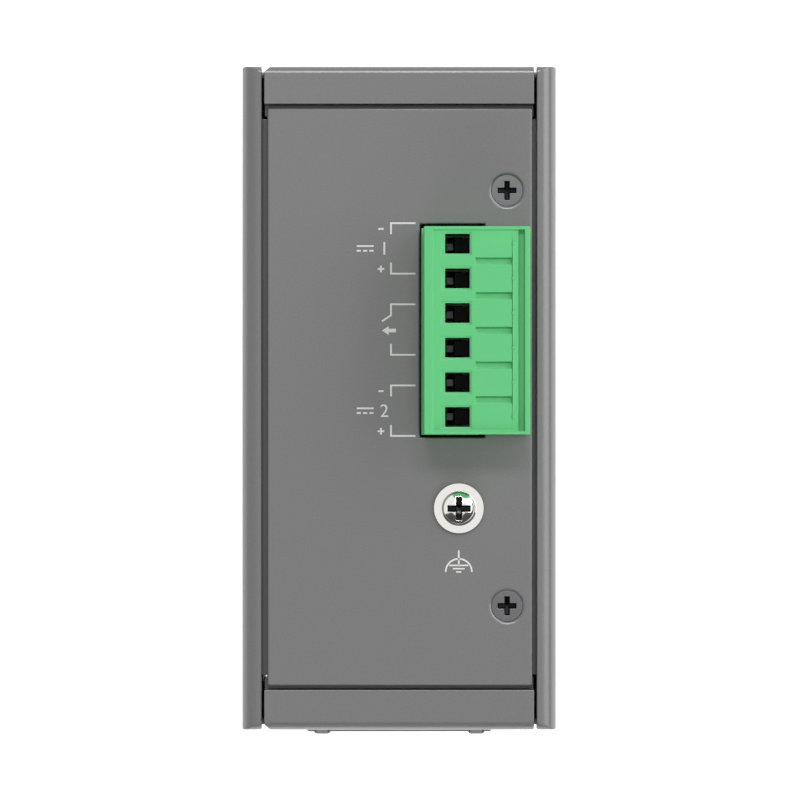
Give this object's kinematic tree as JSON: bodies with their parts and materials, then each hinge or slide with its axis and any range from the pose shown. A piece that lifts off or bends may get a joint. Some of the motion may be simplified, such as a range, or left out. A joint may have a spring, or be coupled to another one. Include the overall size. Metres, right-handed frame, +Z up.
{
  "type": "din rail ethernet switch",
  "caption": "Narrow grey sheet-metal network switch for a mounting rail, with a green screw-clamp power plug and a ground screw on top and a column of sockets in front.",
  "frame": {"origin": "middle of the case's underside", "axes": "+Z up, towards the power terminal; -Y towards the sockets at the front; +Y towards the rail clip; +X to the right for someone who looks at the sockets"},
  "size_m": [0.0472, 0.1075, 0.1439],
  "materials": {
    "case_paint": "fine powder coat",
    "zinc_steel": "zinc plated",
    "nickel_plate": "bright nickel plate",
    "tin_plate": "tin plated",
    "gold_plate": "gold plated contacts",
    "shield_steel": "drawn and tinned",
    "cast_zinc": "die cast",
    "spring_steel": "drawn wire",
    "black_anodised": "black anodised",
    "board_laminate": "solder mask",
    "terminal_plastic": "moulded, satin",
    "black_plastic": "moulded",
    "ferrite": "pressed ferrite",
    "clear_plastic": "frosted clear"
  },
  "bodies": {
    "housing": {"left_cover": "case_paint", "right_cover": "case_paint", "front_plate": "case_paint", "rear_plate": "case_paint", "top_panel": "case_paint", "bottom_panel": "case_paint", "top_screws": "zinc_steel", "bottom_screws": "zinc_steel", "clip_screws": "zinc_steel", "ground_screw": "nickel_plate", "ground_washer": "nickel_plate", "ground_nut": "zinc_steel", "main_board": "board_laminate", "board_posts": "nickel_plate", "board_screws": "zinc_steel", "terminal_header": "terminal_plastic", "header_pins": "tin_plate", "light_pipe": "clear_plastic", "lamps": "clear_plastic", "switch_chip": "black_plastic", "heat_sink": "black_anodised", "capacitor_1": "black_plastic", "capacitor_2": "black_plastic", "fault_relay": "black_plastic", "power_inductor": "ferrite", "power_transformer": "ferrite", "rail_clip": "cast_zinc", "latch_spring": "spring_steel", "port_shield_1": "shield_steel", "port_insert_1": "black_plastic", "port_contacts_1": "gold_plate", "port_shield_2": "shield_steel", "port_insert_2": "black_plastic", "port_contacts_2": "gold_plate", "port_shield_3": "shield_steel", "port_insert_3": "black_plastic", "port_contacts_3": "gold_plate", "port_shield_4": "shield_steel", "port_insert_4": "black_plastic", "port_contacts_4": "gold_plate", "port_shield_5": "shield_steel", "port_insert_5": "black_plastic", "port_contacts_5": "gold_plate"},
    "plug": {"terminal_plug": "terminal_plastic", "plug_contacts": "tin_plate"},
    "latch": {"rail_latch": "cast_zinc"},
    "screw_1": {"clamp_screw_1": "zinc_steel"},
    "cage_1": {"clamp_cage_1": "tin_plate"},
    "screw_2": {"clamp_screw_2": "zinc_steel"},
    "cage_2": {"clamp_cage_2": "tin_plate"},
    "screw_3": {"clamp_screw_3": "zinc_steel"},
    "cage_3": {"clamp_cage_3": "tin_plate"},
    "screw_4": {"clamp_screw_4": "zinc_steel"},
    "cage_4": {"clamp_cage_4": "tin_plate"},
    "screw_5": {"clamp_screw_5": "zinc_steel"},
    "cage_5": {"clamp_cage_5": "tin_plate"},
    "screw_6": {"clamp_screw_6": "zinc_steel"},
    "cage_6": {"clamp_cage_6": "tin_plate"}
  },
  "joints": [
    {"name": "plug_pull", "type": "slide", "parent": "housing", "child": "plug", "axis": [0, 0, 1], "range_m": [0, 0.02]},
    {"name": "latch_pull", "type": "slide", "parent": "housing", "child": "latch", "axis": [0, 0, -1], "range_m": [0, 0.0045], "stiffness_N_per_m": 2000, "springref_m": -0.003, "deforming": ["latch_spring"]},
    {"name": "clamp_turn_1", "type": "hinge", "parent": "plug", "child": "screw_1", "pos_m": [-0.01664, -0.02265, 0.1396], "axis": [1, 0, 0], "range_deg": [0, 2160]},
    {"name": "clamp_rise_1", "type": "slide", "parent": "plug", "child": "cage_1", "axis": [-1, 0, 0], "range_m": [0, 0.003]},
    {"name": "clamp_turn_2", "type": "hinge", "parent": "plug", "child": "screw_2", "pos_m": [-0.01664, -0.01757, 0.1396], "axis": [1, 0, 0], "range_deg": [0, 2160]},
    {"name": "clamp_rise_2", "type": "slide", "parent": "plug", "child": "cage_2", "axis": [-1, 0, 0], "range_m": [0, 0.003]},
    {"name": "clamp_turn_3", "type": "hinge", "parent": "plug", "child": "screw_3", "pos_m": [-0.01664, -0.01249, 0.1396], "axis": [1, 0, 0], "range_deg": [0, 2160]},
    {"name": "clamp_rise_3", "type": "slide", "parent": "plug", "child": "cage_3", "axis": [-1, 0, 0], "range_m": [0, 0.003]},
    {"name": "clamp_turn_4", "type": "hinge", "parent": "plug", "child": "screw_4", "pos_m": [-0.01664, -0.00741, 0.1396], "axis": [1, 0, 0], "range_deg": [0, 2160]},
    {"name": "clamp_rise_4", "type": "slide", "parent": "plug", "child": "cage_4", "axis": [-1, 0, 0], "range_m": [0, 0.003]},
    {"name": "clamp_turn_5", "type": "hinge", "parent": "plug", "child": "screw_5", "pos_m": [-0.01664, -0.00233, 0.1396], "axis": [1, 0, 0], "range_deg": [0, 2160]},
    {"name": "clamp_rise_5", "type": "slide", "parent": "plug", "child": "cage_5", "axis": [-1, 0, 0], "range_m": [0, 0.003]},
    {"name": "clamp_turn_6", "type": "hinge", "parent": "plug", "child": "screw_6", "pos_m": [-0.01664, 0.00275, 0.1396], "axis": [1, 0, 0], "range_deg": [0, 2160]},
    {"name": "clamp_rise_6", "type": "slide", "parent": "plug", "child": "cage_6", "axis": [-1, 0, 0], "range_m": [0, 0.003]}
  ],
  "couplings": [
    {"joint": "clamp_turn_1", "follows": "clamp_rise_1", "rad_per_m": 12566},
    {"joint": "clamp_turn_2", "follows": "clamp_rise_2", "rad_per_m": 12566},
    {"joint": "clamp_turn_3", "follows": "clamp_rise_3", "rad_per_m": 12566},
    {"joint": "clamp_turn_4", "follows": "clamp_rise_4", "rad_per_m": 12566},
    {"joint": "clamp_turn_5", "follows": "clamp_rise_5", "rad_per_m": 12566},
    {"joint": "clamp_turn_6", "follows": "clamp_rise_6", "rad_per_m": 12566}
  ]
}
